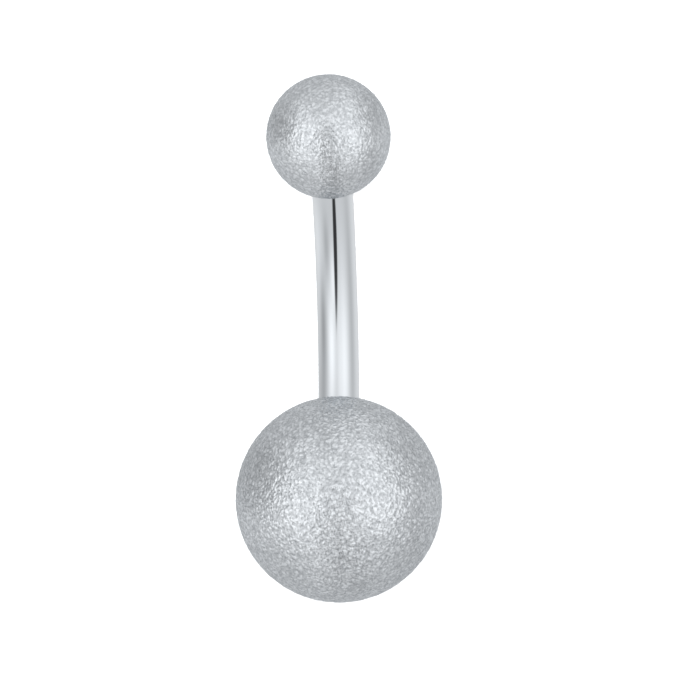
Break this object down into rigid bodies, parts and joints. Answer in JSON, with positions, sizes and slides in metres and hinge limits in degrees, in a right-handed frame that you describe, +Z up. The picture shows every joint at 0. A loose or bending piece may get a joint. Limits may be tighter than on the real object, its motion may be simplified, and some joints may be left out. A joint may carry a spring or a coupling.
{
  "type": "navel ring",
  "caption": "Curved barbell navel ring: bent round steel bar with a small frosted screw ball above and a large one below.",
  "frame": {"origin": "middle of the underside of the barbell as it lies on a table", "axes": "+X from the large lower ball towards the small upper ball, +Z up from the table, and the back of the bend towards +Y"},
  "size_m": [0.0204, 0.008, 0.008],
  "materials": {
    "polished_steel": "mirror-polished surgical steel",
    "frosted_steel": "frosted surgical steel, blasted all over to a fine bright sparkle"
  },
  "bodies": {
    "bar": {"curved_bar": "polished_steel"},
    "upper": {"upper_ball": "frosted_steel"},
    "lower": {"lower_ball": "frosted_steel"}
  },
  "joints": [
    {"name": "unscrew_upper_ball", "type": "slide", "parent": "bar", "child": "upper", "axis": [0.7706, -0.5257, 0.3602], "range_m": [0, 0.003]},
    {"name": "unscrew_lower_ball", "type": "slide", "parent": "bar", "child": "lower", "axis": [-0.7724, -0.4367, 0.4611], "range_m": [0, 0.003]}
  ]
}
